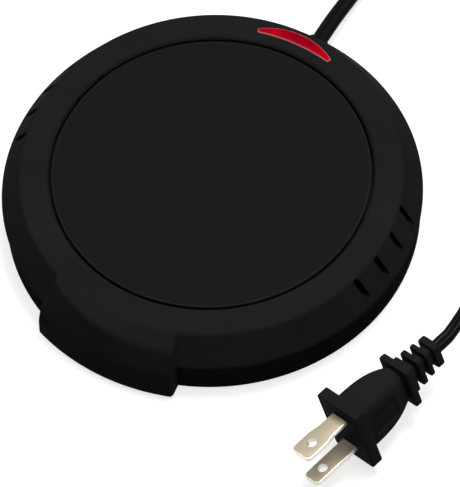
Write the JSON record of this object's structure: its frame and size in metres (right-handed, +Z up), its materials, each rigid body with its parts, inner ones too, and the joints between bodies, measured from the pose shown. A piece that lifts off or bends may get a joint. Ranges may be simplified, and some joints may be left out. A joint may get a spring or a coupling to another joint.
{
  "type": "candle warmer",
  "caption": "Round electric warming plate for jar candles: black casing with a moulded grip, dark metal plate, red crescent indicator lens, snap thermostat, flat twin lead and plug.",
  "frame": {"origin": "centre of the casing on the surface the feet stand on", "axes": "+Z up, +Y towards the lens and the cord's exit, -Y towards the front grip, +X to the side where the plug lies"},
  "size_m": [0.1838, 0.2263, 0.0283],
  "materials": {
    "casing": "black moulded plastic, fine satin texture",
    "base": "black moulded plastic, matte",
    "plate": "dark non-stick coating, satin",
    "seal": "silicone, matte",
    "mica": "mica board",
    "ribbon": "resistance alloy",
    "zinc_steel": "zinc plated",
    "tab_brass": "stamped",
    "cap_aluminium": "drawn sheet",
    "spring_alloy": "spring alloy",
    "phenolic": "moulded phenolic",
    "white_ceramic": "unglazed",
    "glass_sleeve": "woven glass sleeve",
    "red_lens": "translucent red, polished",
    "lamp_glass": "clear",
    "white_nylon": "natural nylon",
    "resistor": "lacquered",
    "tinned_wire": "tinned copper",
    "feet": "matte",
    "wire": "silicone insulation",
    "cord": "flat twin, semi-gloss",
    "tie": "smooth",
    "plug": "moulded on the lead, fine satin texture",
    "blade": "nickel-washed"
  },
  "bodies": {
    "housing": {"top_casing": "casing", "warming_plate": "plate", "plate_seal": "seal", "upper_mica": "mica", "heating_ribbon": "ribbon", "lower_mica": "mica", "pressure_plate": "zinc_steel", "heater_tabs": "tab_brass", "retaining_bars": "zinc_steel", "stud_nuts": "zinc_steel", "thermostat_cap": "cap_aluminium", "bimetal_disc": "spring_alloy", "pin_guide": "phenolic", "thermostat_pot": "phenolic", "arm_terminal": "tab_brass", "fixed_terminal": "tab_brass", "thermostat_screws": "zinc_steel", "thermal_fuse": "zinc_steel", "fuse_sleeve": "glass_sleeve", "fuse_clip": "zinc_steel", "indicator_lens": "red_lens", "neon_lamp": "lamp_glass", "lamp_holder": "white_nylon", "lamp_resistor": "resistor", "lamp_leads": "tinned_wire", "base_cover": "base", "rubber_feet": "feet", "casing_screws": "zinc_steel", "heat_shield": "cap_aluminium", "cord_bushing": "cord", "cord_inner": "cord", "cord_clamp": "base", "clamp_screws": "zinc_steel", "crimp_caps": "white_nylon", "cord_tails": "wire", "fuse_lead": "wire", "thermostat_lead": "wire", "heater_leads": "wire", "cord_near": "cord", "cord_coil": "cord", "cord_far": "cord", "cord_tie": "tie", "plug_body": "plug", "plug_blade_wide": "blade", "plug_blade_narrow": "blade"},
    "contact": {"contact_arm": "spring_alloy"},
    "pin": {"push_pin": "white_ceramic"}
  },
  "joints": [
    {"name": "contact_flex", "type": "hinge", "parent": "housing", "child": "contact", "pos_m": [-0.006, 0, 0.013], "axis": [0, 1, 0], "range_deg": [0, 7], "stiffness_Nm_per_rad": 0.00003, "springref_deg": -22.92},
    {"name": "pin_travel", "type": "slide", "parent": "housing", "child": "pin", "axis": [0, 0, -1], "range_m": [0, 0.0006], "deforming": ["bimetal_disc"]}
  ],
  "couplings": [
    {"joint": "contact_flex", "follows": "pin_travel", "rad_per_m": 166.67}
  ]
}
